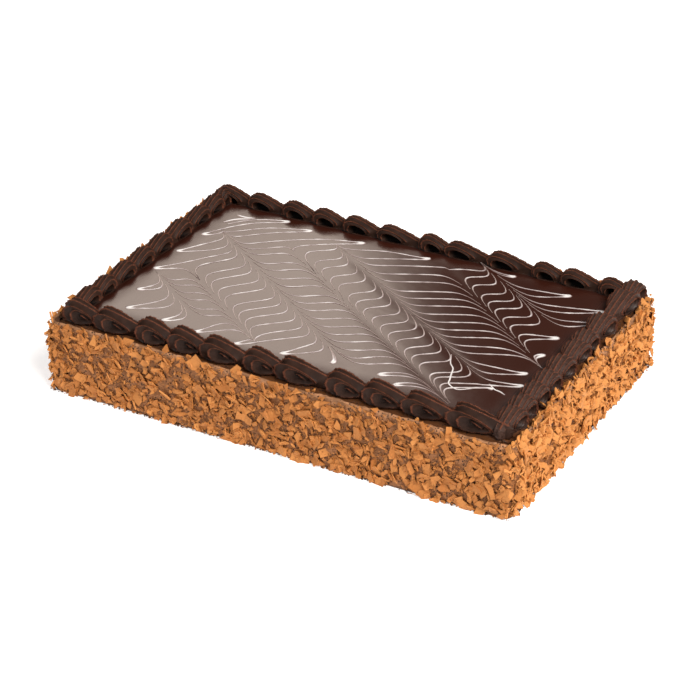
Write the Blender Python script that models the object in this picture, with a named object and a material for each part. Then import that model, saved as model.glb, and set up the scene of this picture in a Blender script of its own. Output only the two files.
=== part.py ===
"""Chocolate sheet cake with a mirror glaze, a piped ganache border and flaked sides.

The cake lies flat, with its long side along X, its front at -Y and its origin at the
middle of the bottom. Lengths are in metres.
"""

import math
import random

import bmesh
import bpy
from mathutils import Matrix, Vector

MM = 0.001
GAP = 0.3 * MM

# Driving dimensions of the cake
CAKE_LENGTH = 305 * MM
CAKE_WIDTH = 200 * MM
RIM_HEIGHT = 47 * MM
GLAZE_HEIGHT = 50 * MM
CORNER_RADIUS = 5 * MM

# The top, as insets from the sides
LIP_WIDTH = 1.9 * MM
LIP_WAVE = 0.5 * MM
LEDGE_INSET = 4.6 * MM
LEDGE_DROP = 0.9 * MM
GLAZE_EDGE_INSET = 12 * MM
FLAT_INSET = 20 * MM
GLAZE_THICKNESS = 1.2 * MM

# The piped border
SHELL_HEIGHT = 12.2 * MM
SHELL_WIDTH = 16.6 * MM
MIDDLE_INSET = 10.8 * MM
HEAD_REACH = 7.6 * MM
TAIL_COVER = 6 * MM
TAIL_TAPER = 0.3
WAIST = 0.4
FLANK_ANGLE = math.radians(78)
FLANK_SHRINK = 0.5
RIDGE_DEPTH = 0.13
RING_STEPS = 4
EYE_PLACE = 1.15
EYE_DEPTH = 0.34
OUTLINE_POINTS = 9

# Where each shell's head starts along its row, as piped by hand
FRONT_HEADS = (-147, -124, -96, -74, -51, -23, 0, 31, 55, 81, 110)
BACK_HEADS = (-148, -124, -99, -77, -54.5, -29.5, -1, 18, 47, 76.5, 96, 121)
LEFT_HEADS = (88, 80, 62, 40, 17, -4, -25, -46, -63)
RIGHT_HEADS = (99, 84, 52, 29.5, 15.5, -5, -24, -40, -56, -70)

# Each row: heads, where its last tail ends, outward, size, height of its inner and outer
# eyes, and how far a tail falls
ROWS = {
    "front": (FRONT_HEADS, 143, (0, -1), 1.0, (0.18, 0.36), 0.50),
    "back": (BACK_HEADS, 141, (0, 1), 0.93, (0.12, 0.12), 0.66),
    "left": (LEFT_HEADS, -84, (-1, 0), 0.95, (0.12, 0.12), 0.62),
    "right": (RIGHT_HEADS, -90, (1, 0), 0.97, (0.14, 0.20), 0.55),
}
# At the corners the named shell lies under these
CROSSINGS = {
    ("left", 0): [("back", 0)],
    ("left", 8): [("front", 0)],
    ("front", 10): [("right", 9)],
    ("back", 11): [("right", 0)],
}

# The flakes on the sides
FLAKE_ROWS = 4
FLAKE_COUNT = {"front": 54, "back": 54, "left": 34, "right": 34}
FLAKE_SIZE = (5 * MM, 8.6 * MM)
FLAKE_THICKNESS = (0.9 * MM, 1.5 * MM)
FLAKE_LEAN = math.radians(22)
FLAKE_REST = (0.35 * MM, 1.1 * MM)
FLAKE_FLOOR = 0.6 * MM
FLAKE_TOP = 1.2 * MM
SEED = 7

HALF_LENGTH = CAKE_LENGTH / 2
HALF_WIDTH = CAKE_WIDTH / 2
LEDGE_HEIGHT = RIM_HEIGHT - LEDGE_DROP
SLOPE = math.atan2(GLAZE_HEIGHT - LEDGE_HEIGHT, FLAT_INSET - LEDGE_INSET)

COLOURS = {
    "buttercream": ((0.36, 0.17, 0.08), 0.75),
    "glaze": ((0.045, 0.014, 0.010), 0.08),
    "ganache": ((0.030, 0.015, 0.010), 0.45),
}


def clear_scene():
    for thing in list(bpy.data.objects):
        bpy.data.objects.remove(thing, do_unlink=True)


def make_collection(name):
    collection = bpy.data.collections.new(name)
    bpy.context.scene.collection.children.link(collection)
    return collection


def make_material(name):
    colour, roughness = COLOURS[name]
    material = bpy.data.materials.new(name)
    material.use_nodes = True
    shader = material.node_tree.nodes["Principled BSDF"]
    shader.inputs["Base Color"].default_value = (*colour, 1)
    shader.inputs["Roughness"].default_value = roughness
    shader.inputs["Metallic"].default_value = 0
    return material


def make_object(name, bm, collection, material=None):
    bmesh.ops.recalc_face_normals(bm, faces=bm.faces)
    mesh = bpy.data.meshes.new(name)
    bm.to_mesh(mesh)
    bm.free()
    thing = bpy.data.objects.new(name, mesh)
    collection.objects.link(thing)
    if material:
        mesh.materials.append(material)
    return thing


def rounded_ring(inset, height, side_points, wave=0.0):
    """One level outline of the cake: four rounded corners and four straight sides."""
    half_x = HALF_LENGTH - inset
    half_y = HALF_WIDTH - inset
    radius = max(CORNER_RADIUS - inset * 0.5, 1.5 * MM)
    corner_angles = [math.radians(a) for a in (0, 45, 90)]
    ring = []
    for quarter in range(4):
        turn = quarter * math.pi / 2
        sign_x = 1 if quarter in (0, 3) else -1
        sign_y = 1 if quarter in (0, 1) else -1
        centre = Vector((sign_x * (half_x - radius), sign_y * (half_y - radius), height))
        for angle in corner_angles:
            step = Vector((math.cos(turn + angle), math.sin(turn + angle), 0))
            ring.append(centre + step * radius)
        last = ring[-1]
        along_x = quarter in (0, 2)
        if along_x:
            target = Vector((-last.x, last.y, height))
        else:
            target = Vector((last.x, -last.y, height))
        count = side_points[0] if along_x else side_points[1]
        for step in range(1, count):
            ring.append(last.lerp(target, step / count))
    for index, point in enumerate(ring):
        point.z += wave * (math.sin(index * 1.9) + 0.6 * math.sin(index * 0.8 + 1))
    return ring


def loft(rings):
    """A closed solid through level outlines of equal point count."""
    bm = bmesh.new()
    loops = [[bm.verts.new(point) for point in ring] for ring in rings]
    count = len(loops[0])
    for below, above in zip(loops, loops[1:]):
        for index in range(count):
            after = (index + 1) % count
            bm.faces.new((below[index], below[after], above[after], above[index]))
    bm.faces.new(list(reversed(loops[0])))
    bm.faces.new(loops[-1])
    return bm


def slope_height(inset):
    """Height of the shoulder and of the glaze's falling edge at an inset."""
    return GLAZE_HEIGHT - (FLAT_INSET - inset) * math.tan(SLOPE)


def make_cake_block(collection, material):
    """Crumb coat, lip, ledge and shoulder, with a shallow seat for the glaze."""
    sides = (13, 9)
    seat_inset = GLAZE_EDGE_INSET - GAP
    seat_floor = slope_height(GLAZE_EDGE_INSET) - GLAZE_THICKNESS - GAP
    levels = (
        (1.2 * MM, 0, 0),
        (0, 1.5 * MM, 0),
        (0.3 * MM, RIM_HEIGHT - 2 * MM, 0),
        (0.9 * MM, RIM_HEIGHT, LIP_WAVE),
        (LIP_WIDTH, RIM_HEIGHT, LIP_WAVE),
        (LIP_WIDTH + 0.8 * MM, LEDGE_HEIGHT, 0),
        (LEDGE_INSET, LEDGE_HEIGHT, 0),
        (seat_inset, slope_height(seat_inset), 0),
        (seat_inset, seat_floor, 0),
    )
    rings = [rounded_ring(inset, height, sides, wave) for inset, height, wave in levels]
    return make_object("cake_block", loft(rings), collection, material)


def make_glaze(collection, material):
    """Thin poured glaze, level in the middle and falling away under the border."""
    sides = (1, 1)
    edge_height = slope_height(GLAZE_EDGE_INSET)
    levels = (
        (GLAZE_EDGE_INSET, edge_height - GLAZE_THICKNESS),
        (GLAZE_EDGE_INSET, edge_height),
        (FLAT_INSET, GLAZE_HEIGHT),
    )
    rings = [rounded_ring(inset, height, sides) for inset, height in levels]
    return make_object("glaze_top", loft(rings), collection, material)


def flake_shape(rng):
    """A thin angular chip, lying in its own XY plane."""
    bm = bmesh.new()
    size = rng.uniform(*FLAKE_SIZE)
    bmesh.ops.create_cone(
        bm,
        cap_ends=True,
        segments=rng.choice((4, 5)),
        radius1=size / 2,
        radius2=size / 2 * rng.uniform(0.86, 0.98),
        depth=rng.uniform(*FLAKE_THICKNESS),
    )
    stretch = Vector((rng.uniform(1.0, 1.5), rng.uniform(0.6, 0.85), 1))
    for vert in bm.verts:
        vert.co = Vector(a * b for a, b in zip(vert.co, stretch))
    return bm, size * stretch.x / 2


def side_frame(side):
    """Middle of a side at the bottom, its direction along and its outward direction."""
    frames = {
        "front": (Vector((0, -HALF_WIDTH, 0)), Vector((1, 0, 0)), HALF_LENGTH),
        "back": (Vector((0, HALF_WIDTH, 0)), Vector((-1, 0, 0)), HALF_LENGTH),
        "left": (Vector((-HALF_LENGTH, 0, 0)), Vector((0, -1, 0)), HALF_WIDTH),
        "right": (Vector((HALF_LENGTH, 0, 0)), Vector((0, 1, 0)), HALF_WIDTH),
    }
    middle, along, half = frames[side]
    return middle, along, along.cross(Vector((0, 0, 1))), half


def make_flakes(side, collection):
    """Chips spread evenly over one side, each leaning its own way and part sunk in."""
    rng = random.Random(f"{SEED} {side}")
    middle, along, outward, half = side_frame(side)
    count = FLAKE_COUNT[side]
    columns = math.ceil(count / FLAKE_ROWS)
    for index in range(count):
        bm, reach = flake_shape(rng)
        row, column = index % FLAKE_ROWS, index // FLAKE_ROWS
        low = reach + FLAKE_FLOOR
        high = RIM_HEIGHT - FLAKE_TOP - reach
        height = low + (high - low) * (row + rng.uniform(0.1, 0.9)) / FLAKE_ROWS
        place = (column + rng.uniform(0.1, 0.9)) / columns
        offset = (2 * place - 1) * (half - reach - 2 * MM)
        spot = middle + along * offset + Vector((0, 0, height))
        spot += outward * rng.uniform(*FLAKE_REST)
        lean = Matrix.Rotation(rng.uniform(-1, 1) * FLAKE_LEAN, 4, "X")
        lean @= Matrix.Rotation(rng.uniform(-1, 1) * FLAKE_LEAN, 4, "Y")
        spin = Matrix.Rotation(rng.uniform(0, math.tau), 4, "Z")
        upright = Matrix((along, Vector((0, 0, 1)), outward)).transposed().to_4x4()
        bmesh.ops.transform(
            bm, matrix=Matrix.Translation(spot) @ upright @ lean @ spin, verts=bm.verts
        )
        make_object(f"flake_{side}_{index:03d}", bm, collection)


def fuse_flakes(block, flakes):
    """Join the chips to the cake in one union, then drop their own objects."""
    union = block.modifiers.new("Fused flakes", "BOOLEAN")
    union.operation = "UNION"
    union.operand_type = "COLLECTION"
    union.collection = flakes
    union.solver = "MANIFOLD"
    apply_modifiers(block)
    for flake in list(flakes.objects):
        bpy.data.objects.remove(flake, do_unlink=True)


def apply_modifiers(thing):
    """Keep the evaluated shape, without loose scraps."""
    graph = bpy.context.evaluated_depsgraph_get()
    mesh = bpy.data.meshes.new_from_object(thing.evaluated_get(graph))
    bm = bmesh.new()
    bm.from_mesh(mesh)
    keep_largest_body(bm)
    bm.to_mesh(mesh)
    bm.free()
    thing.modifiers.clear()
    thing.data = mesh


def keep_largest_body(bm):
    """Remove every body but the one with the most faces."""
    left = set(bm.verts)
    bodies = []
    while left:
        body = set()
        edge = [next(iter(left))]
        while edge:
            vert = edge.pop()
            if vert in body:
                continue
            body.add(vert)
            edge.extend(link.other_vert(vert) for link in vert.link_edges)
        left -= body
        bodies.append(body)
    largest = max(bodies, key=len)
    scraps = [vert for body in bodies if body is not largest for vert in body]
    bmesh.ops.delete(bm, geom=scraps, context="VERTS")


def clamp(value, low, high):
    return min(max(value, low), high)


class Shell:
    """One piped shell: where its head starts, how far to the next head, its frame."""

    def __init__(self, start, run, outward, pitch, size, eyes, fall):
        self.start = start
        self.run = run
        tilt = SLOPE
        self.outward = outward * math.cos(tilt) - Vector((0, 0, math.sin(tilt)))
        self.up = outward * math.sin(tilt) + Vector((0, 0, math.cos(tilt)))
        self.length = pitch + TAIL_COVER
        self.height = SHELL_HEIGHT * size
        self.half_width = SHELL_WIDTH * size / 2
        self.reach = min(HEAD_REACH * size, 0.4 * self.length)
        self.eyes = eyes
        self.fall = fall

    def outline(self, step):
        """Side view of the middle ridge, from the head's foot over to the tail's end."""
        waist = WAIST * self.height
        head_end, tail_end = 0.45, 0.9
        if step <= head_end:
            angle = math.radians(-30 + 120 * step / head_end)
            rise = math.sin(angle)
            along = self.reach * (1 - math.cos(angle))
            if rise < 0:
                return along, waist * (1 + rise / 0.5)
            return along, waist + (self.height - waist) * rise
        share = min((step - head_end) / (tail_end - head_end), 1)
        along = self.reach + (self.length - self.reach) * share
        if step <= tail_end:
            return along, self.height * (1 - self.fall * share**1.3)
        end = (step - tail_end) / (1 - tail_end)
        return along, self.height * (1 - self.fall) * (1 - end)

    def point(self, ring, step, grow=0.0):
        """A surface point: ring -1 to 1 runs from ridge to ridge across, step along.

        A shell that is grown, to cut its neighbour, has its eyes filled.
        """
        across = abs(ring)
        side = math.copysign(1, ring)
        angle = FLANK_ANGLE * min(across, 1)
        crest = 1 - abs(math.sin(math.tau * across))
        swell = 1 - RIDGE_DEPTH * (1 - crest)
        scale = swell * math.cos(angle) ** FLANK_SHRINK
        wide = swell * math.sin(angle)
        sunk = max(across - 1, 0) * RING_STEPS
        scale *= 1 - sunk
        wide *= 1 - (0 if grow else EYE_DEPTH) * sunk
        eye_along = self.reach * EYE_PLACE
        eye_height = self.height * self.eyes[0 if side < 0 else 1]
        along, height = self.outline(step)
        taper = 1 - TAIL_TAPER * max(0, (along - self.reach) / (self.length - self.reach))
        along = eye_along + (along - eye_along) * scale
        off_floor = max(min(1, height / (2 * eye_height)), sunk)
        height = height * scale + eye_height * off_floor * (1 - scale)
        wide *= side * self.half_width * taper
        back = clamp(10 * (step - 0.75), 0, 1)
        front = clamp(4 * (0.4 - step), 0, 1)
        along += grow * (back - front)
        wide += grow * clamp(2 * wide / self.half_width, -1, 1)
        height += grow * clamp(4 * (height / self.height - 0.15), -1, 1)
        place = self.start + self.run * along + self.outward * wide + self.up * (height + GAP)
        place.z = max(place.z, LEDGE_HEIGHT + GAP - grow)
        return place


def shell_mesh(shell, grow=0.0):
    """A UV sphere whose rings run round the two eyes, moved onto the shell's surface."""
    bm = bmesh.new()
    rings = 2 * RING_STEPS + 2
    bmesh.ops.create_uvsphere(
        bm, u_segments=OUTLINE_POINTS, v_segments=rings, radius=1
    )
    for vert in bm.verts:
        polar = math.acos(max(-1, min(1, vert.co.z)))
        ring = (polar / math.pi * rings - rings / 2) / RING_STEPS
        turn = math.atan2(vert.co.y, vert.co.x) % math.tau
        step = round(turn / math.tau * OUTLINE_POINTS) % OUTLINE_POINTS
        vert.co = shell.point(ring, step / (OUTLINE_POINTS - 1), grow)
    bmesh.ops.triangulate(bm, faces=bm.faces)
    return bm


def row_of_shells(name):
    """The shells of one side, in the order in which they were piped."""
    heads, end, plan_outward, size, eyes, fall = ROWS[name]
    outward = Vector((*plan_outward, 0))
    along_x = name in ("front", "back")
    run = Vector((1, 0, 0)) if along_x else Vector((0, -1, 0))
    half = HALF_WIDTH if along_x else HALF_LENGTH
    base = outward * (half - MIDDLE_INSET)
    base.z = slope_height(MIDDLE_INSET)
    rng = random.Random(f"{SEED} {name}")
    shells = []
    for head, after in zip(heads, (*heads[1:], end)):
        start = base + abs(head) * MM * (run if (head > 0) == along_x else -run)
        pitch = abs(after - head) * MM
        own_size = size * rng.uniform(0.96, 1.04)
        shells.append(Shell(start, run, outward, pitch, own_size, eyes, fall))
    return shells


def make_shell(name, shell, covers, collection, cutters, material):
    """A shell whose tail is cut clear of the shells that lie over it."""
    thing = make_object(name, shell_mesh(shell), collection, material)
    for index, cover in enumerate(covers):
        cutter = make_object(f"cut_{name}_{index}", shell_mesh(cover, 2 * GAP), cutters)
        cutter.hide_render = True
        cutter.display_type = "WIRE"
        cut = thing.modifiers.new("Clear of the next shell", "BOOLEAN")
        cut.operation = "DIFFERENCE"
        cut.object = cutter
        cut.solver = "MANIFOLD" if len(covers) > 1 else "EXACT"
    if covers:
        apply_modifiers(thing)
    return thing


def make_border(collection, cutters, material):
    """Four rows of shells, each cut clear of those that lie over it."""
    rows = {name: row_of_shells(name) for name in ROWS}
    for name, shells in rows.items():
        for index, shell in enumerate(shells):
            covers = shells[index + 1 : index + 2]
            covers += [rows[row][place] for row, place in CROSSINGS.get((name, index), [])]
            full_name = f"shell_{name}_{index + 1:02d}"
            make_shell(full_name, shell, covers, collection, cutters, material)


def main():
    clear_scene()
    cake = make_collection("opera_cake")
    cutters = make_collection("cutters")
    flakes = make_collection("flakes")
    buttercream = make_material("buttercream")
    glaze = make_material("glaze")
    ganache = make_material("ganache")

    block = make_cake_block(cake, buttercream)
    for side in FLAKE_COUNT:
        make_flakes(side, flakes)
    fuse_flakes(block, flakes)
    make_glaze(cake, glaze)
    make_border(cake, cutters, ganache)


main()
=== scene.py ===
"""Looks for the opera cake: piped border, mirror glaze, feathered icing, flaked sides, studio.

The file is laid out as a Blender add-on and is run as a script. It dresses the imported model:
each piece stands for CAD nodes and keeps their form and place. Lengths are in metres.
"""

from functools import partial
import math
import random

import bmesh
import bpy
import numpy as np
from mathutils import Matrix, Vector, noise


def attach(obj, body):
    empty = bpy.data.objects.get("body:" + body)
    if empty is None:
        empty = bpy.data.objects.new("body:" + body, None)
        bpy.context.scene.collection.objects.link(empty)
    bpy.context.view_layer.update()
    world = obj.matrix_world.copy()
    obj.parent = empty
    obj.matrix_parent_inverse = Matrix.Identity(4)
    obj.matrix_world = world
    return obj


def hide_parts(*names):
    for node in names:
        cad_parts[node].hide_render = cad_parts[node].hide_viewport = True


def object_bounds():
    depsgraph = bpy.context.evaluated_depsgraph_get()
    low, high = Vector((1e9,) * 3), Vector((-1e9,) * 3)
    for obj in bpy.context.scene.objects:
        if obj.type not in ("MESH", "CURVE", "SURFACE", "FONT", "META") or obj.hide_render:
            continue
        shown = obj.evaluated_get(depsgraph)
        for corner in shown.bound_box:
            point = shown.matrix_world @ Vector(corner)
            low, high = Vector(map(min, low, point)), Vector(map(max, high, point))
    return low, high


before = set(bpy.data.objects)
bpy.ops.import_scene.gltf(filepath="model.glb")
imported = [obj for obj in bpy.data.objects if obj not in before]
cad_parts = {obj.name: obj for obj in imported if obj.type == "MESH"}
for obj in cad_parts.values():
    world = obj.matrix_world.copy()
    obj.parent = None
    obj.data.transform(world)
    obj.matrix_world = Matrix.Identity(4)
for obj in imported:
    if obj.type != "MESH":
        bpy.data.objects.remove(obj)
CAD_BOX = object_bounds()

bl_info = {
    "name": "Opera Cake Looks",
    "version": (1, 0, 0),
    "blender": (4, 5, 0),
    "location": "3D View > Sidebar > Opera Cake",
    "description": "Border, glaze, feathered icing, flaked sides and a studio for an opera cake",
    "category": "Object",
}

MM = 0.001
SEED = 7
SIDES = ("front", "back", "left", "right")

# The cake's form, as in the part
CAKE_LENGTH = 305 * MM
CAKE_WIDTH = 200 * MM
RIM_HEIGHT = 47 * MM
GLAZE_HEIGHT = 50 * MM
CORNER_RADIUS = 5 * MM
LIP_WIDTH = 1.9 * MM
LEDGE_INSET = 4.6 * MM
LEDGE_DROP = 0.9 * MM
GLAZE_EDGE_INSET = 12 * MM
FLAT_INSET = 20 * MM
GLAZE_THICKNESS = 1.2 * MM
FLOOR_GAP = 0.03 * MM
HALF_LENGTH = CAKE_LENGTH / 2
HALF_WIDTH = CAKE_WIDTH / 2
LEDGE_HEIGHT = RIM_HEIGHT - LEDGE_DROP
SLOPE = math.atan2(GLAZE_HEIGHT - LEDGE_HEIGHT, FLAT_INSET - LEDGE_INSET)

# The piped border, as in the part
SHELL_HEIGHT = 12.2 * MM
SHELL_WIDTH = 16.6 * MM
HEAD_REACH = 7.6 * MM
TAIL_COVER = 6 * MM
FLANK_ANGLE = math.radians(56)
FOOT_FLARE = 0.75
SHELL_LEAN = 0.2
WAIST = 0.4
TAIL_TAPER = 0.3
TAIL_SAG = 1.3
DUST_AND_SHEEN_SCALE = 8
WET_HEIGHT = 2 * MM

# Steps round a shell's loop: over the head, down the tail and back along the floor
HEAD_START = math.radians(-30)
HEAD_END = 0.45
TAIL_END = 0.9
LOOP_END = 1.22
TOP_STEPS = 112
FLOOR_STEPS = 18

# Rings across a shell, from 0 at its middle: 1 is the last ridge, at the mouth of its flank
HOOK_RING = 1.5
EYE_RING = 1.6
HOOK_SCALE = 0.2
SLIT_DEPTH = 0.34
TUNNEL_DEPTH = 0.75
SCROLL_DRIFT = (0.14, 0.04)

# How far the rows stand in, and where each side's heads lie from its middle, in millimetres
MIDDLE_INSET = 10.8 * MM
FRONT_HEADS = (-147, -124, -96, -74, -51, -23, 0, 31, 55, 81, 110)
BACK_HEADS = (-148, -124, -99, -77, -54.5, -29.5, -1, 18, 47, 76.5, 96, 121)
LEFT_HEADS = (88, 80, 62, 40, 17, -4, -25, -46, -63)
RIGHT_HEADS = (99, 84, 52, 29.5, 15.5, -5, -24, -40, -56, -70)

# The feathered icing, in plan millimetres: s runs across the drag strokes, t along them
DRAG_ANGLE = math.radians(-37)
FEATHER_SHIFT = (3.0, -5.0)
RUN_STATION = -15
RUN_SLOPE = 0.30
RUN_BEND = 0.0019
RUN_FAN = 0.0016
RUN_SPREAD = 0.0045
ICING_STEP = 0.4
TAIL_STEP = 0.35
STROKE_FADE = (12, 30)
STROKE_CORE = 14
RUN_PLACES = (
    -136.5, -130.6, -122.7, -114.2, -102.8, -94, -85.7, -71.9, -61.9, -49.5, -38.4, -24.7, -14.8,
    -4.5, 7, 17.8, 28.1, 38, 48.8, 57.7, 66.9, 79.9, 84.5, 92, 98,
)
UPPER_TIPS = (
    (10, -123), (18, -105), (41, -76), (69, -40), (106, 3), (124.5, 39), (133, 65),
    (123, 77), (93, 82), (76, 96.5), (57, 111), (48.5, 122.5), (32, 119),
)
LOWER_TIPS = (
    (-45, -129), (-68, -114), (-89, -98), (-108, -76.5), (-122, -57), (-108, -34),
    (-96, -13), (-80, 10), (-60, 32), (-38, 54), (-19, 78), (-16, 92),
)
# Each stroke: s and t where it starts, s and t where it ends, and its way along t
STROKES = (
    (-90, -93, -90, -15, -1),
    (-70, -97, -69, 12, 1),
    (-33, -127, -31.5, 74, -1),
    (-2.5, -93, 3, 129, 1),
    (24.5, -80, 30.5, 112, -1),
    (74, -25, 67.5, 106, 1),
    (96, -19, 97, 80, -1),
)
START_TAILS = (((-125, 75), (-119, 74.5), (-113, 76)), ((-128, 62), (-123, 69), (-115, 74)))
END_SQUIGGLE = (
    ((113, -46), (105, -50), (97, -56), (90, -53), (88, -48), (86, -42), (84, -36), (80, -31), (76, -22)),
    ((110, -42), (115, -46), (119, -47), (123, -49)),
)

# The soft box that the glaze mirrors
WINDOW_DISTANCE = 1.3
WINDOW_SIZE = (0.55, 0.46)
WINDOW_TURN = math.radians(14.7)
WINDOW_EDGE = -0.106
WINDOW_SOFT = (0.2, 0.24)
WINDOW_COLOUR = (1, 0.86, 0.745)

# Place, size and colour of the other lights, and the photo's framing
KEY_LIGHT = ((2.5, -1.1, 2.6), (2.2, 2.2), (1, 0.97, 0.93))
FILL_LIGHT = ((-1.8, -3.4, 2.4), (2.4, 2.4), (0.96, 0.98, 1))
ROOM_COLOUR = (1, 0.87, 0.78, 1)
CAMERA_SHIFT = (-3.355 / 700, -7.39 / 700)


class CakeSizes(bpy.types.PropertyGroup):
    """Sizes that change how finely the cake is dressed."""

    flakes: bpy.props.IntProperty(
        name="Flakes", description="Large chocolate flakes on the four sides", default=3600
    )
    shards: bpy.props.IntProperty(
        name="Shards", description="Small splinters between the flakes", default=7900
    )
    crumbs: bpy.props.IntProperty(
        name="Crumbs", description="Dark crumbs along the bottom edge", default=800
    )
    flake_length: bpy.props.FloatProperty(
        name="Flake length", description="Length of a common flake", default=6.7 * MM,
        unit="LENGTH", precision=4,
    )
    flake_thickness: bpy.props.FloatProperty(
        name="Flake thickness", description="Thickness of a flake", default=0.85 * MM,
        unit="LENGTH", precision=5,
    )
    ridge_depth: bpy.props.FloatProperty(
        name="Ridge depth", description="Depth of the grooves between the piped ridges",
        default=0.15, subtype="FACTOR", min=0, max=0.4,
    )
    serration: bpy.props.FloatProperty(
        name="Serration", description="Height of the teeth along the piped ridges",
        default=0.033, subtype="FACTOR", min=0, max=0.1,
    )
    icing_width: bpy.props.FloatProperty(
        name="Icing width", description="Width of an undisturbed icing line",
        default=0.96 * MM, unit="LENGTH", precision=5,
    )
    drag_reach: bpy.props.FloatProperty(
        name="Drag reach", description="How far a stroke drags the icing beside its middle",
        default=24 * MM, unit="LENGTH",
    )
    drag_width: bpy.props.FloatProperty(
        name="Drag width", description="Distance beside a stroke in which its drag fades",
        default=2.6 * MM, unit="LENGTH", precision=5,
    )
    trough: bpy.props.FloatProperty(
        name="Trough", description="Depth of the trough that a drag stroke leaves in the glaze",
        default=0.12 * MM, unit="LENGTH", precision=5,
    )


class CakeColours(bpy.types.PropertyGroup):
    """Colours of the finishes."""

    ganache: bpy.props.FloatVectorProperty(
        name="Ganache", description="Piped ganache in the grooves", size=3,
        default=(0.0200, 0.0088, 0.0055), subtype="COLOR", min=0, max=1,
    )
    ridge: bpy.props.FloatVectorProperty(
        name="Ridge", description="Copper brown of the ridges' dry edges", size=3,
        default=(0.150, 0.047, 0.024), subtype="COLOR", min=0, max=1,
    )
    glaze: bpy.props.FloatVectorProperty(
        name="Glaze", description="Mirror glaze", size=3,
        default=(0.034, 0.0085, 0.0048), subtype="COLOR", min=0, max=1,
    )
    icing: bpy.props.FloatVectorProperty(
        name="Icing", description="White feathered icing", size=3,
        default=(0.80, 0.78, 0.76), subtype="COLOR", min=0, max=1,
    )
    coat: bpy.props.FloatVectorProperty(
        name="Coat", description="Crumb coat on the sides", size=3,
        default=(0.34, 0.160, 0.075), subtype="COLOR", min=0, max=1,
    )
    # The ledge colour is partly the buttercream's own brown and partly painted shade under the border.
    ledge: bpy.props.FloatVectorProperty(
        name="Ledge", description="Buttercream under the border", size=3,
        default=(0.085, 0.030, 0.010), subtype="COLOR", min=0, max=1,
    )
    flake_light: bpy.props.FloatVectorProperty(
        name="Light flake", description="Palest milk chocolate flakes", size=3,
        default=(0.540, 0.222, 0.061), subtype="COLOR", min=0, max=1,
    )
    flake_dark: bpy.props.FloatVectorProperty(
        name="Dark flake", description="Deepest milk chocolate flakes", size=3,
        default=(0.310, 0.103, 0.022), subtype="COLOR", min=0, max=1,
    )


class CakeStudio(bpy.types.PropertyGroup):
    """Camera and lights."""

    azimuth: bpy.props.FloatProperty(
        name="Azimuth", description="Camera's turn from the front, towards the right side",
        default=0.4978, subtype="ANGLE",
    )
    elevation: bpy.props.FloatProperty(
        name="Elevation", description="Camera's height angle", default=0.5096, subtype="ANGLE"
    )
    distance: bpy.props.FloatProperty(
        name="Distance", description="Camera's distance from the cake", default=1.532,
        unit="LENGTH",
    )
    lens: bpy.props.FloatProperty(
        name="Lens", description="Focal length on a 36 mm sensor", default=130.7, unit="CAMERA"
    )
    key: bpy.props.FloatProperty(
        name="Key light", description="Power of the large light at the right", default=235,
        unit="POWER",
    )
    fill: bpy.props.FloatProperty(
        name="Fill light", description="Power of the light at the front left", default=70,
        unit="POWER",
    )
    window: bpy.props.FloatProperty(
        name="Window light", description="Power of the soft box that the glaze mirrors",
        default=2.83, unit="POWER",
    )
    floor: bpy.props.FloatVectorProperty(
        name="Floor", description="Plain pale floor", size=3, default=(0.8, 0.8, 0.8),
        subtype="COLOR", min=0, max=1,
    )
    surround: bpy.props.FloatProperty(
        name="Surround", description="Brightness of the room around", default=0.08, min=0
    )


class Socket:
    """A number inside a material. Python arithmetic on it adds the Math nodes."""

    def __init__(self, finish, link):
        self.finish = finish
        self.link = link

    def math(self, operation, *values, clamp=False):
        settings = {"operation": operation, "use_clamp": clamp}
        return self.finish.node("ShaderNodeMath", settings, dict(enumerate(values)))

    def __add__(self, other):
        return self.math("ADD", self, other)

    def __radd__(self, other):
        return self.math("ADD", other, self)

    def __sub__(self, other):
        return self.math("SUBTRACT", self, other)

    def __rsub__(self, other):
        return self.math("SUBTRACT", other, self)

    def __mul__(self, other):
        return self.math("MULTIPLY", self, other)

    def __rmul__(self, other):
        return self.math("MULTIPLY", other, self)

    def __pow__(self, other):
        return self.math("POWER", self, other)

    def clamped(self):
        return self.math("ADD", self, 0.0, clamp=True)

    def between(self, low, high):
        """0 below low, 1 above high, smooth between them."""
        settings = {"interpolation_type": "SMOOTHSTEP"}
        return self.finish.node("ShaderNodeMapRange", settings, {0: self, 1: low, 2: high})


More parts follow.
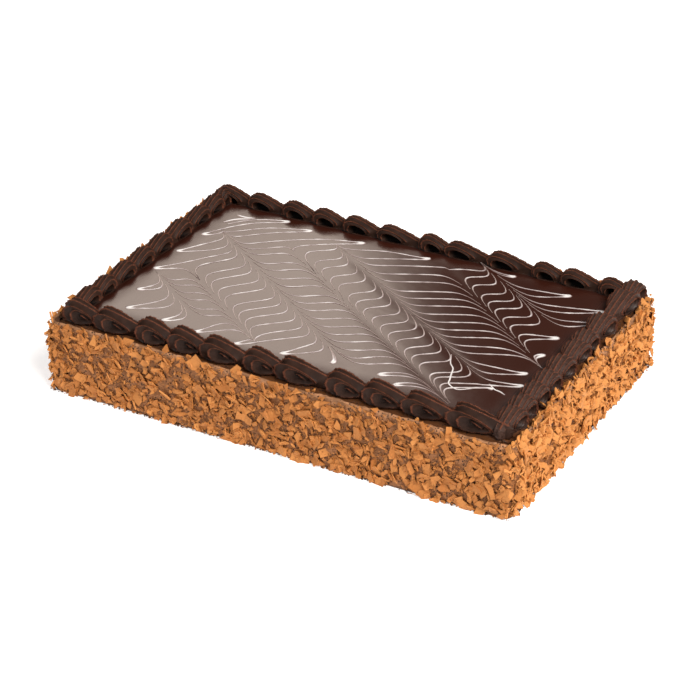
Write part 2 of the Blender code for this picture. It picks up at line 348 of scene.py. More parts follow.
class Finish:
    """One material, built from nodes."""

    def __init__(self, name):
        self.material = bpy.data.materials.new(name)
        self.material.use_nodes = True
        self.tree = self.material.node_tree
        self.tree.nodes.clear()
        self.shader = self.tree.nodes.new("ShaderNodeBsdfPrincipled")
        output = self.tree.nodes.new("ShaderNodeOutputMaterial")
        self.tree.links.new(self.shader.outputs[0], output.inputs[0])

    def node(self, kind, settings, values, output=0):
        """Adds a node, sets it up, then fills or links its sockets."""
        node = self.tree.nodes.new(kind)
        for name, value in settings.items():
            setattr(node, name, value)
        for key, value in values.items():
            self.feed(node.inputs[key], value)
        return Socket(self, node.outputs[output])

    def feed(self, entry, value):
        if isinstance(value, Socket):
            self.tree.links.new(value.link, entry)
        elif entry.type == "RGBA":
            entry.default_value = (*value, 1)
        else:
            entry.default_value = value

    def set(self, **values):
        """Fills the shader's own sockets; an underscore stands for a space."""
        for name, value in values.items():
            self.feed(self.shader.inputs[name.replace("_", " ")], value)

    def place(self):
        return self.node("ShaderNodeTexCoord", {}, {}, "Object")

    def painted(self, name):
        """A value stored on the mesh's points."""
        return self.node("ShaderNodeAttribute", {"attribute_name": name}, {}, "Fac")

    def noise(self, scale, detail=3.0, roughness=0.55, offset=0.0):
        place = self.place()
        if offset:
            place = self.node("ShaderNodeVectorMath", {"operation": "ADD"}, {0: place, 1: (offset,) * 3})
        values = {"Vector": place, "Scale": scale, "Detail": detail, "Roughness": roughness}
        return self.node("ShaderNodeTexNoise", {}, values)

    def cells(self, scale):
        values = {"Vector": self.place(), "Scale": scale}
        return self.node("ShaderNodeTexVoronoi", {"feature": "F1"}, values)

    def blend(self, share, first, second):
        settings = {"data_type": "RGBA"}
        return self.node("ShaderNodeMix", settings, {0: share, 6: first, 7: second}, 2)

    def shade(self, colour, share):
        """A colour made darker or lighter by a number that varies over the surface."""
        settings = {"data_type": "RGBA", "blend_type": "MULTIPLY"}
        grey = self.node("ShaderNodeCombineColor", {}, {0: share, 1: share, 2: share})
        return self.node("ShaderNodeMix", settings, {0: 1.0, 6: colour, 7: grey}, 2)

    def bump(self, height, distance, strength=1.0):
        values = {"Strength": strength, "Distance": distance, "Height": height}
        return self.node("ShaderNodeBump", {}, values)


def scaled(colour, factor):
    return tuple(channel * factor for channel in colour)


def ganache_finish(colours):
    """Dark matt ganache with dry copper edges along its ridges; painted shade deep in the flanks' eyes
    and on the tunnels' floors; and on the side rows, greyer grooves and wider copper edges that are part
    dust, part painted sheen.
    """
    finish = Finish("piped_ganache")
    crest = finish.painted("crest")
    grain = finish.noise(900, 3)
    patch = finish.noise(140, 2, offset=3.1)
    deep_shade = finish.painted("deep_shade")
    along = finish.painted("along")
    wet = finish.painted("foot")
    tooth = along.math("SINE", along * (56 * math.tau))
    edge = (crest * (0.72 + 0.26 * grain + 0.26 * patch + 0.09 * tooth)).between(0.68, 0.93)
    dark, light = tuple(colours.ganache), scaled(colours.ganache, 1.6)
    groove = finish.blend(patch.between(0.35, 0.7), dark, light)
    # Painted shade: deep in a flank's eye and on a tunnel's floor the ganache is darkened to near black.
    groove = finish.blend(deep_shade.between(0.05, 0.6), groove, scaled(colours.ganache, 0.15))
    # Part dust, part painted sheen: on the side rows the grooves are lightened towards grey-brown, most
    # on the right row.
    dust_and_sheen = finish.painted("dust_and_sheen") * grain.between(0.2, 0.7) * (1.0 - deep_shade)
    groove = finish.blend(dust_and_sheen * 0.8, groove, (0.066, 0.036, 0.028))
    dull, bright = scaled(colours.ridge, 0.7), scaled(colours.ridge, 1.25)
    worn = finish.blend(grain.between(0.3, 0.75), dull, bright)
    roughness = 0.44 + 0.24 * edge + 0.14 * patch + 0.4 * deep_shade - 0.3 * wet * (1.0 - deep_shade)
    finish.set(Base_Color=finish.blend(edge, groove, worn), Roughness=roughness.clamped(), IOR=1.24)
    flow = finish.painted("flow")
    lines = flow.math("SINE", flow * 95.0)
    ragged = (1.6 * finish.noise(1500, 2) + 0.8 * tooth) * edge
    height = 0.35 * grain + 0.25 * (lines * (1.0 - edge)) + ragged
    finish.set(Normal=finish.bump(height, 0.00026, 0.6))
    return finish.material


def glaze_finish(colours):
    """Mirror glaze: deep brown, wet and faintly rippled."""
    finish = Finish("mirror_glaze")
    cloud = finish.noise(18, 2)
    ripple = finish.noise(70, 2, offset=5.0)
    fine = finish.noise(420, 2, offset=1.7)
    colour = finish.blend(cloud, scaled(colours.glaze, 0.85), scaled(colours.glaze, 1.2))
    border = finish.painted("border")
    finish.set(Base_Color=colour, Roughness=0.13 + 0.05 * cloud + 0.16 * border, IOR=1.5)
    finish.set(Normal=finish.bump(ripple + 0.06 * fine, 0.0004, 0.16))
    return finish.material


def icing_finish(colours):
    """White lines that sink into the glaze where a stroke drew them out."""
    finish = Finish("feathered_icing")
    white = finish.painted("white")
    grain = finish.noise(700, 2)
    share = (white * (0.92 + 0.16 * grain)).between(0.15, 0.85)
    thin = finish.blend(share, (0.22, 0.15, 0.135), (0.52, 0.46, 0.47))
    finish.set(
        Base_Color=finish.blend(white.between(0.6, 0.95), thin, tuple(colours.icing)),
        Roughness=0.15 + 0.16 * share,
        IOR=1.5,
    )
    finish.set(Normal=finish.bump(grain * share, 0.0001, 0.3))
    return finish.material


def coat_finish(colours):
    """Crumb coat: pink-brown buttercream with crumbs; painted shade between the flakes, and a ledge under
    the border that is darker, partly its own brown and partly painted shade.
    """
    finish = Finish("crumb_coat")
    top = finish.painted("top")
    foot = finish.painted("foot")
    flake_shade = finish.painted("flake_shade")
    cloud = finish.noise(160, 4)
    grain = finish.noise(1300, 3, offset=2.2)
    holes = finish.cells(620)
    pale = finish.blend(cloud.between(0.34, 0.66), scaled(colours.coat, 0.55), scaled(colours.coat, 1.2))
    # The ledge and shoulder colour: partly the buttercream's own brown, partly painted shade under the
    # border.
    deep_shade = finish.blend(cloud, scaled(colours.ledge, 0.7), scaled(colours.ledge, 1.35))
    colour = finish.blend(top, pale, deep_shade)
    # Painted shade between the flakes: the walls below the lip are darkened towards deep orange-brown.
    colour = finish.blend(flake_shade * 0.85, colour, scaled(colours.flake_dark, 0.7))
    speck = holes.between(0.42, 0.22) * cloud.between(0.42, 0.54)
    colour = finish.blend(speck * 0.9, colour, (0.018, 0.010, 0.008))
    colour = finish.blend(foot * grain.between(0.35, 0.6), colour, (0.035, 0.014, 0.008))
    finish.set(Base_Color=colour, Roughness=0.72 - 0.25 * top, IOR=1.33)
    height = cloud + 0.5 * grain - 0.8 * speck
    finish.set(Normal=finish.bump(height, 0.0006, 0.7))
    return finish.material


def flake_finish(name, colours, darkness):
    """Milk chocolate flakes, each with a tone of its own plus a painted light offset by side, paler along
    broken edges.
    """
    finish = Finish(name)
    tone = finish.painted("tone")
    edge = finish.painted("edge")
    cloud = finish.noise(260, 3)
    grain = finish.noise(2400, 3, offset=4.0)
    mixed = (0.75 * tone + 0.5 * cloud - 0.12).clamped()
    dark, light = scaled(colours.flake_dark, darkness), scaled(colours.flake_light, darkness)
    colour = finish.blend(mixed, dark, light)
    colour = finish.blend(edge * 0.15, colour, scaled(colours.flake_light, 1.2 * darkness))
    colour = finish.shade(colour, 0.86 + 0.28 * grain)
    finish.set(Base_Color=colour, Roughness=0.55 + 0.2 * grain, IOR=1.3)
    finish.set(Normal=finish.bump(grain + 1.5 * cloud, 0.0002, 0.5))
    return finish.material


def plain_finish(name, colour, roughness):
    finish = Finish(name)
    cloud = finish.noise(3, 1)
    finish.set(Base_Color=finish.blend(cloud, scaled(colour, 0.99), tuple(colour)), Roughness=roughness)
    finish.set(Emission_Color=(1.0, 1.0, 1.0), Emission_Strength=0.6)
    return finish.material


def dress(name, points, faces, material, values, replaced=(), smooth=True):
    """Makes a piece, stores its painted values, and lets it stand for CAD nodes."""
    mesh = bpy.data.meshes.new(name)
    mesh.from_pydata([tuple(p) for p in points], [], [tuple(f) for f in faces])
    mesh.validate()
    for key, numbers in values.items():
        layer = mesh.attributes.new(key, "FLOAT", "POINT")
        layer.data.foreach_set("value", np.asarray(numbers, np.float32))
    mesh.materials.append(material)
    if smooth:
        mesh.shade_smooth()
    piece = bpy.data.objects.new(name, mesh)
    bpy.context.scene.collection.objects.link(piece)
    if replaced:
        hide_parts(*replaced)
    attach(piece, "root")


def slope_height(inset):
    """Height of the shoulder and of the glaze's falling edge at an inset."""
    return GLAZE_HEIGHT - (FLAT_INSET - inset) * math.tan(SLOPE)


def ring_points(inset, spacing):
    """A level outline of the cake in plan, evenly stepped, with its outward directions."""
    half_x = HALF_LENGTH - inset
    half_y = HALF_WIDTH - inset
    radius = max(CORNER_RADIUS - inset * 0.5, 1.5 * MM)
    counts = [max(2, round(2 * (half - radius) / spacing)) for half in
              (HALF_LENGTH - CORNER_RADIUS, HALF_WIDTH - CORNER_RADIUS)]
    corner_steps = 6
    places, outwards = [], []
    for quarter in range(4):
        turn = quarter * math.pi / 2
        sign_x = 1 if quarter in (0, 3) else -1
        sign_y = 1 if quarter in (0, 1) else -1
        middle = np.array([sign_x * (half_x - radius), sign_y * (half_y - radius)])
        for step in range(corner_steps + 1):
            angle = turn + step * math.pi / 2 / corner_steps
            out = np.array([math.cos(angle), math.sin(angle)])
            places.append(middle + out * radius)
            outwards.append(out)
        last = places[-1]
        along_x = quarter in (0, 2)
        target = last * (-1, 1) if along_x else last * (1, -1)
        count = counts[0] if along_x else counts[1]
        for step in range(1, count):
            places.append(last + (target - last) * step / count)
            outwards.append(outwards[-1])
    return np.array(places), np.array(outwards)


def loft(rings):
    """Points and faces through rings of equal point count, closed at both ends."""
    count = len(rings[0])
    points = np.concatenate(rings)
    faces = []
    for level in range(len(rings) - 1):
        base = level * count
        for index in range(count):
            after = (index + 1) % count
            faces.append((base + index, base + after, base + count + after, base + count + index))
    faces.append(tuple(range(count - 1, -1, -1)))
    base = (len(rings) - 1) * count
    faces.append(tuple(range(base, base + count)))
    return points, faces


def joined(parts):
    """One mesh out of several, each given by its points, faces and painted values."""
    points, faces, values = [], [], {}
    base = 0
    for own, own_faces, own_values in parts:
        points.append(own)
        faces += [tuple(base + index for index in face) for face in own_faces]
        base += len(own)
        for key, numbers in own_values.items():
            values.setdefault(key, []).append(numbers)
    return np.concatenate(points), faces, {key: np.concatenate(own) for key, own in values.items()}


def rumple(points, size, octaves=3, seed=0.0):
    """Smooth noise at each point, about -1 to 1."""
    scale = 1 / size
    move = Vector((seed, seed * 1.7, -seed))
    return np.array([
        noise.fractal(Vector(p) * scale + move, 1.0, 2.0, octaves) for p in points
    ])


def coat_levels():
    """Inset and height of each level of the body: wall, lip, ledge, then the shoulder."""
    levels = [(0.8 * MM, 0.0), (0.0, 1.2 * MM)]
    wall_steps = 26
    for step in range(1, wall_steps):
        levels.append((0.0, 1.2 * MM + (RIM_HEIGHT - 3 * MM) * step / wall_steps))
    levels += [
        (0.1 * MM, RIM_HEIGHT - 1.4 * MM), (0.35 * MM, RIM_HEIGHT - 0.5 * MM),
        (0.9 * MM, RIM_HEIGHT), (1.4 * MM, RIM_HEIGHT), (LIP_WIDTH, RIM_HEIGHT - 0.2 * MM),
        (2.3 * MM, LEDGE_HEIGHT + 0.2 * MM), (3.0 * MM, LEDGE_HEIGHT), (3.8 * MM, LEDGE_HEIGHT),
        (LEDGE_INSET, LEDGE_HEIGHT),
    ]
    for step in range(1, 6):
        inset = LEDGE_INSET + (GLAZE_EDGE_INSET - LEDGE_INSET) * step / 5
        levels.append((inset, slope_height(inset) - 0.15 * MM))
    return levels


def make_coat(colours):
    """The cake's body: walls, wavy lip, ledge and the shoulder up to the glaze."""
    rings, tops, feet, flake_shades = [], [], [], []
    for inset, height in coat_levels():
        plan, outward = ring_points(inset, 1.5 * MM)
        ring = np.column_stack([plan, np.full(len(plan), height)])
        relief = rumple(ring, 5 * MM, 3) * 0.5 * MM
        wall = np.clip(1 - inset / LIP_WIDTH, 0, 1) * min(1, height / (3 * MM))
        ring[:, :2] += outward * (relief * wall - 0.25 * MM * (wall > 0))[:, None]
        near_lip = math.exp(-(((inset - 1.2 * MM) / (1.1 * MM)) ** 2)) * (height > RIM_HEIGHT - 3 * MM)
        wave = rumple(ring * (1, 1, 0), 16 * MM, 2, 4.0) * 0.9 * MM
        jag = rumple(ring * (1, 1, 0), 2.6 * MM, 2, 9.0) * 0.7 * MM
        ring[:, 2] += (wave + jag) * near_lip
        low_relief = rumple(ring, 3 * MM, 2, 2.0) * 0.22 * MM
        ring[:, 2] += low_relief * (inset > 2.2 * MM)
        rings.append(ring)
        # The ledge and shoulder take the ledge colour, partly painted shade under the border; the lip
        # takes a little of it.
        top = 1.0 if inset > 2.2 * MM else (0.15 if inset > 1.7 * MM else 0.0)
        tops.append(np.full(len(plan), top))
        feet.append(np.full(len(plan), max(0, 1 - height / (3.2 * MM))))
        # Painted shade between the flakes, below the lip: full on the left and right walls, 0.6 on the
        # front and back.
        below_lip = min(1, max(0, (RIM_HEIGHT - 1.5 * MM - height) / (5 * MM)))
        flake_shades.append((0.6 + 0.4 * (np.abs(outward[:, 0]) > 0.7)) * below_lip)
    points, faces = loft(rings)
    values = {"top": np.concatenate(tops), "foot": np.concatenate(feet), "flake_shade": np.concatenate(flake_shades)}
    dress("cake_coat", points, faces, coat_finish(colours), values, ["cake_block"])


def wall_frame(side):
    """Middle of a side at the bottom, its direction along, outward, and half its length."""
    frames = {
        "front": ((0, -HALF_WIDTH, 0), (1, 0, 0), HALF_LENGTH),
        "back": ((0, HALF_WIDTH, 0), (-1, 0, 0), HALF_LENGTH),
        "left": ((-HALF_LENGTH, 0, 0), (0, -1, 0), HALF_WIDTH),
        "right": ((HALF_LENGTH, 0, 0), (0, 1, 0), HALF_WIDTH),
    }
    middle, along, half = frames[side]
    along = Vector(along)
    return Vector(middle), along, along.cross(Vector((0, 0, 1))), half


def bent_rim(rng, rim, width):
    """The rim of a chip that can bend: rows across it from end to end, of uneven width."""
    rows = 4
    low = min(x for x, _ in rim)
    high = max(x for x, _ in rim)
    ends = [low + (high - low) * row / rows for row in range(rows + 1)]
    near = [(x, -width / 2 * rng.uniform(0.55, 1.0)) for x in ends]
    return near + [(x, width / 2 * rng.uniform(0.55, 1.0)) for x in reversed(ends)]


def chip(rng, length, thickness, corners, bend):
    """A thin angular chip in its own XY plane, flat or bent about one axis, closed all round."""
    width = length * rng.uniform(0.34, 0.8)
    start = rng.uniform(0, math.tau)
    skew = rng.uniform(-0.35, 0.35)
    rim = []
    for corner in range(corners):
        angle = start + (corner + rng.uniform(-0.36, 0.36)) * math.tau / corners
        reach = rng.uniform(0.72, 1.08)
        x, y = math.cos(angle) * length / 2 * reach, math.sin(angle) * width / 2 * reach
        rim.append((x + skew * y, y))
    if bend:
        rim = bent_rim(rng, rim, width)

    def lift(x):
        return bend * (x / (length / 2)) ** 2

    half = thickness / 2
    count = len(rim)
    points = [(x, y, lift(x) + half) for x, y in rim]
    points += [(x * 0.94, y * 0.94, lift(x) - half) for x, y in rim]
    if bend:
        pairs = [(row, row + 1, count - 2 - row, count - 1 - row) for row in range(count // 2 - 1)]
        faces = pairs + [tuple(count + index for index in reversed(face)) for face in pairs]
    else:
        faces = [tuple(range(count)), tuple(range(2 * count - 1, count - 1, -1))]
    faces += [(i, i + count, (i + 1) % count + count, (i + 1) % count) for i in range(count)]
    edge = [0.15] * count + [1] * count
    return points, faces, edge


def by_side(long_sides, left, right):
    """A value for each side, the same one for front and back."""
    return dict(zip(SIDES, (long_sides, long_sides, left, right)))


def side_shares(count):
    """How many of a scattered kind go on each side, by its area."""
    whole = 2 * (CAKE_LENGTH + CAKE_WIDTH)
    lengths = by_side(CAKE_LENGTH, CAKE_WIDTH, CAKE_WIDTH)
    return {side: round(count * length / whole) for side, length in lengths.items()}


def in_box(place):
    """A place moved into the CAD model's box, just clear of the floor."""
    place = Vector(min(max(v, low), high) for v, low, high in zip(place, *CAD_BOX))
    place.z = max(place.z, FLOOR_GAP)
    return place


def place_chip(rng, side, style):
    """One chip pressed into a wall: its points, faces and painted values."""
    middle, along, outward, half = wall_frame(side)
    length = style["length"] * math.exp(rng.gauss(0, style["spread"]))
    length = min(length, style["longest"])
    thickness = style["thickness"] * rng.uniform(0.7, 1.3)
    corners = rng.choice(style["corners"])
    curled = rng.random() < style["curled"][side]
    bend = rng.uniform(-0.12, 0.34) * length if curled else 0
    points, faces, edges = chip(rng, length, thickness, corners, bend)
    lean = math.radians(rng.gauss(0, style["ragged"][side]))
    tip = math.radians(rng.gauss(0, style["ragged"][side]))
    turn = Matrix.Rotation(lean, 3, "X") @ Matrix.Rotation(tip, 3, "Y")
    upright = Matrix((along, Vector((0, 0, 1)), outward)).transposed()
    turn = upright @ turn @ Matrix.Rotation(rng.uniform(0, math.tau), 3, "Z")
    offset = rng.uniform(-1, 1) * (half - 0.2 * MM)
    height = style["low"] + (style["high"][side] - style["low"]) * rng.random()
    out = rng.uniform(*style["rest"])
    if height > RIM_HEIGHT:
        out -= rng.uniform(0, 3.2) * MM
    past = max(0, abs(offset) - half + CORNER_RADIUS)
    out -= CORNER_RADIUS - math.sqrt(CORNER_RADIUS**2 - past**2)
    spot = middle + along * offset + Vector((0, 0, height)) + outward * out
    # The side's pale offset is painted light: flakes on the side walls are made lighter, those on the
    # front and back darker.
    tone = min(max(rng.gauss(0.5 + style["pale"][side], 0.2), 0), 1)
    places = [in_box(spot + turn @ Vector(point)) for point in points]
    return places, faces, {"tone": [tone] * len(points), "edge": edges}


def scatter(name, rng, count, material, make):
    """Many small bits round the four walls, joined into one piece."""
    shares = side_shares(count).items()
    points, faces, values = joined(make(rng, side) for side, share in shares for _ in range(share))
    dress(name, points, faces, material, values, ["cake_block"], smooth=False)


def make_flakes(sizes, colours):
    """Large flakes first, then splinters between them."""
    flakes = {
        "length": sizes.flake_length, "spread": 0.36, "longest": 12 * MM,
        "thickness": sizes.flake_thickness, "corners": (3, 4, 4, 5, 5),
        "ragged": by_side(20, 27, 32), "curled": by_side(0.12, 0.6, 0.75),
        "low": 1.0 * MM, "rest": (0.1 * MM, 1.5 * MM),
        # The pale offsets by side are painted light: the right flakes lightest, then the left, the front
        # and back darkened.
        "high": by_side(47.8 * MM, 48.6 * MM, 49.4 * MM), "pale": by_side(-0.14, 0.4, 0.6),
    }
    shards = {
        "length": 2.0 * MM, "spread": 0.4, "longest": 5 * MM,
        "thickness": 0.36 * MM, "corners": (3, 4, 4),
        "ragged": by_side(30, 38, 42), "curled": by_side(0.1, 0.3, 0.35),
        "low": 0.3 * MM, "rest": (0.1 * MM, 1.7 * MM),
        # Painted light here too: the splinters' pale offsets lighten the side walls and darken the front
        # and back.
        "high": by_side(46.9 * MM, 48 * MM, 48.8 * MM), "pale": by_side(-0.2, 0.15, 0.3),
    }
    for name, count, style, look, darkness in (
        ("side_flakes", sizes.flakes, flakes, "milk_flakes", 1.0),
        # The splinters are darkened to 0.8, partly painted shade between the flakes.
        ("side_shards", sizes.shards, shards, "milk_shards", 0.8),
    ):
        material = flake_finish(look, colours, darkness)
        rng = random.Random(f"{SEED} {name}")
        scatter(name, rng, count, material, partial(place_chip, style=style))


def place_crumb(rng, side):
    """One dark crumb at a wall's foot: its points, faces and painted values."""
    middle, along, outward, half = wall_frame(side)
    size = 0.5 * MM * math.exp(rng.gauss(0, 0.35))
    spot = middle + along * rng.uniform(-half, half) + outward * rng.uniform(-0.1, 1.0) * MM
    spot.z = size * 0.5 + abs(rng.gauss(0, 0.6)) * MM
    bm = bmesh.new()
    bmesh.ops.create_icosphere(bm, subdivisions=1, radius=size)
    places, tones = [], []
    for vert in bm.verts:
        place = spot + vert.co * rng.uniform(0.6, 1.1)
        place.z = max(place.z, FLOOR_GAP)
        places.append(place)
        tones.append(rng.random() * 0.4)
    faces = [tuple(vert.index for vert in face.verts) for face in bm.faces]
    bm.free()
    return places, faces, {"tone": tones, "edge": [0] * len(places)}


def make_crumbs(sizes, colours):
    """Dark crumbs along the bottom edge."""
    material = flake_finish("dark_crumbs", colours, 0.22)
    scatter("bottom_crumbs", random.Random(f"{SEED} crumbs"), sizes.crumbs, material, place_crumb)


def make_glaze(sizes, colours):
    """The poured glaze: level in the middle, falling away under the border."""
    levels = [(GLAZE_EDGE_INSET, slope_height(GLAZE_EDGE_INSET) - GLAZE_THICKNESS)]
    for step in range(6):
        inset = GLAZE_EDGE_INSET + (FLAT_INSET - 1.5 * MM - GLAZE_EDGE_INSET) * step / 5
        levels.append((inset, slope_height(inset)))
    levels += [(FLAT_INSET - 0.7 * MM, GLAZE_HEIGHT - 0.1 * MM), (FLAT_INSET + 0.6 * MM, GLAZE_HEIGHT)]
    steps = 30
    for step in range(1, steps):
        levels.append((FLAT_INSET + (HALF_WIDTH - FLAT_INSET - 3 * MM) * step / steps, GLAZE_HEIGHT))
    rings, borders = [], []
    for inset, height in levels:
        plan, _ = ring_points(inset, 2.2 * MM)
        borders.append(np.full(len(plan), max(0, 1 - max(0, inset - FLAT_INSET) / (9 * MM))))
        ring = np.column_stack([plan, np.full(len(plan), height)])
        if height == GLAZE_HEIGHT:
            ring[:, 2] += rumple(ring, 34 * MM, 2, 6.0) * 0.05 * MM - 0.05 * MM
            path = np.column_stack(to_drag(*(plan / MM - FEATHER_SHIFT).T))
            for stroke in STROKES:
                beside, reach = near_stroke(path, stroke)
                ring[:, 2] -= sizes.trough * np.exp(-((beside / 4) ** 2)) * reach
        rings.append(ring)
    points, faces = loft(rings)
    values = {"border": np.concatenate(borders)}
    dress("glaze_surface", points, faces, glaze_finish(colours), values, ["glaze_top"])


def to_drag(x, y):
    """Plan millimetres to (s, t), across and along the drag strokes."""
    cos, sin = math.cos(DRAG_ANGLE), math.sin(DRAG_ANGLE)
    return -sin * x + cos * y, cos * x + sin * y


def from_drag(s, t):
    cos, sin = math.cos(DRAG_ANGLE), math.sin(DRAG_ANGLE)
    return cos * t - sin * s, sin * t + cos * s


def smooth_path(anchors, spacing):
    """A Catmull-Rom curve through plan points, stepped evenly."""
    anchors = [np.array(a, float) for a in anchors]
    anchors = [2 * anchors[0] - anchors[1], *anchors, 2 * anchors[-1] - anchors[-2]]
    path = []
    for a, b, c, d in zip(anchors, anchors[1:], anchors[2:], anchors[3:]):
        steps = max(2, int(np.linalg.norm(c - b) / spacing))
        for step in range(steps):
            u = step / steps
            path.append(0.5 * (2 * b + (c - a) * u + (2 * a - 5 * b + 4 * c - d) * u**2
                               + (3 * b - a - 3 * c + d) * u**3))
    path.append(anchors[-2])
    return np.array(path)


def run_line(s, place):
    """Where an undragged run lies: a shallow arc, fanned out towards both long edges."""
    fan = RUN_FAN * (place + 60) * min(s - RUN_STATION, 0)
    spread = RUN_SPREAD * max(place - 50, 0) * max(s, 0)
    return place + RUN_SLOPE * (s - RUN_STATION) + RUN_BEND * (s * s - RUN_STATION**2) + fan + spread


def near_stroke(path, stroke):
    """How far beside a stroke each (s, t) lies, and how strongly the stroke acts there."""
    start_s, start_t, end_s, end_t, way = stroke
    share = np.clip((path[:, 1] - start_t) / (end_t - start_t), 0, 1)
    beside = np.abs(path[:, 0] - start_s - (end_s - start_s) * share)
    first, last = STROKE_FADE if way > 0 else reversed(STROKE_FADE)
    reach = np.clip((path[:, 1] - start_t) / first, 0, 1) * np.clip((end_t - path[:, 1]) / last, 0, 1)
    return beside, reach


def drag(path, sizes):
    """How far the strokes move each point of the icing along t."""
    move = np.zeros(len(path))
    width = sizes.drag_width / MM
    for stroke in STROKES:
        beside, reach = near_stroke(path, stroke)
        pulled = sizes.drag_reach / MM * np.exp(-beside / width)
        pulled += STROKE_CORE * np.exp(-beside / (0.25 * width))
        move += stroke[-1] * pulled * reach
    return move


def undragged(tip, sizes):
    """A tip as it lay before the strokes moved it to where it shows."""
    return tip[0], tip[1] - drag(np.array([tip], float), sizes)[0]


def icing_rows(sizes):
    """The zigzag before it was dragged, as one path of (s, t) anchors, and its tips."""
    uppers = [undragged(tip, sizes) for tip in UPPER_TIPS]
    lowers = [undragged(tip, sizes) for tip in LOWER_TIPS]
    first_low = (-30, run_line(-30, RUN_PLACES[0]))
    anchors = []
    for index, place in enumerate(RUN_PLACES):
        upward = index % 2 == 0
        high = uppers[index // 2]
        low = lowers[(index - 1) // 2] if index else first_low
        side = -1 if upward else 1
        low_s, high_s = low[0] + 4, high[0] - 4
        count = max(3, int((high_s - low_s) / 14))
        body = []
        for step in range(count + 1):
            s = low_s + (high_s - low_s) * step / count
            near_low = math.exp(-(s - low_s) / 9)
            near_high = math.exp(-(high_s - s) / 12)
            low_t = low[1] + 0.3 * (s - low[0]) - side * 1.6
            high_t = high[1] + 0.5 * (s - high[0]) + side * 1.6
            t = run_line(s, place) * (1 - near_low) + low_t * near_low
            body.append((s, t * (1 - near_high) + high_t * near_high))
        anchors += [*body, high] if upward else [*reversed(body), low]
    return anchors, uppers + lowers


def icing_line(plan, width, white):
    """A low ribbon with sloping shoulders along plan points, in millimetres."""
    ahead = np.gradient(plan, axis=0)
    speed = np.maximum(np.linalg.norm(ahead, axis=1), 1e-6)
    normal = np.column_stack([-ahead[:, 1], ahead[:, 0]]) / speed[:, None]
    shares = (-1.6, -1.0, -0.5, 0.5, 1.0, 1.6)
    lifts = (-0.05, 0.06, 0.16, 0.16, 0.06, -0.05)
    tints = (0, 0.6, 1, 1, 0.6, 0)
    count = len(plan)
    points, whites = [], []
    for share, lift, tint in zip(shares, lifts, tints):
        flat = plan + normal * (width * share)[:, None] + FEATHER_SHIFT
        height = GLAZE_HEIGHT / MM + lift * (0.03 + 0.97 * white**2)
        points.append(np.column_stack([flat, height]) * MM)
        whites.append(tint * white)
    faces = []
    for index in range(count - 1):
        if min(white[index], white[index + 1]) < 0.17:
            continue
        for strip in range(len(shares) - 1):
            a = strip * count + index
            faces.append((a, a + 1, a + 1 + count, a + count))
    return np.concatenate(points), faces, {"white": np.concatenate(whites)}


def make_feathering(sizes, colours):
    """The dragged zigzag, its two start tails and the squiggle at its end."""
    anchors, tips = icing_rows(sizes)
    path = smooth_path(anchors, ICING_STEP)
    moved = path.copy()
    moved[:, 1] += drag(path, sizes)
    speeds = [np.linalg.norm(np.gradient(line, axis=0), axis=1) for line in (moved, path)]
    stretch = np.maximum(speeds[0] / np.maximum(speeds[1], 1e-6), 1)
    from_tip = np.min([np.hypot(*(path - tip).T) for tip in tips], axis=0)
    blob = np.exp(-((from_tip / 3.2) ** 2))
    base = sizes.icing_width / MM / 2
    wander = rumple(np.column_stack([path, np.zeros(len(path))]), 7, 2, 3.0)
    white = np.clip(0.75 * stretch**-0.62 * (1 + 0.25 * wander) + 0.5 * blob, 0, 1)
    width = base * (stretch**-0.4 * (1 + 0.3 * wander) * (0.35 + 0.8 * white) + 1.1 * blob)
    lines = [icing_line(np.column_stack(from_drag(moved[:, 0], moved[:, 1])), width, white)]
    for places, share in [(p, 1.7) for p in START_TAILS] + [(p, 0.82) for p in END_SQUIGGLE]:
        plan = smooth_path(places, TAIL_STEP)
        round_ends = np.sin(np.linspace(0.12, math.pi - 0.12, len(plan))) ** 0.3
        lines.append(icing_line(plan, base * share * round_ends, round_ends))
    points, faces, values = joined(lines)
    dress("feather_icing", points, faces, icing_finish(colours), values)


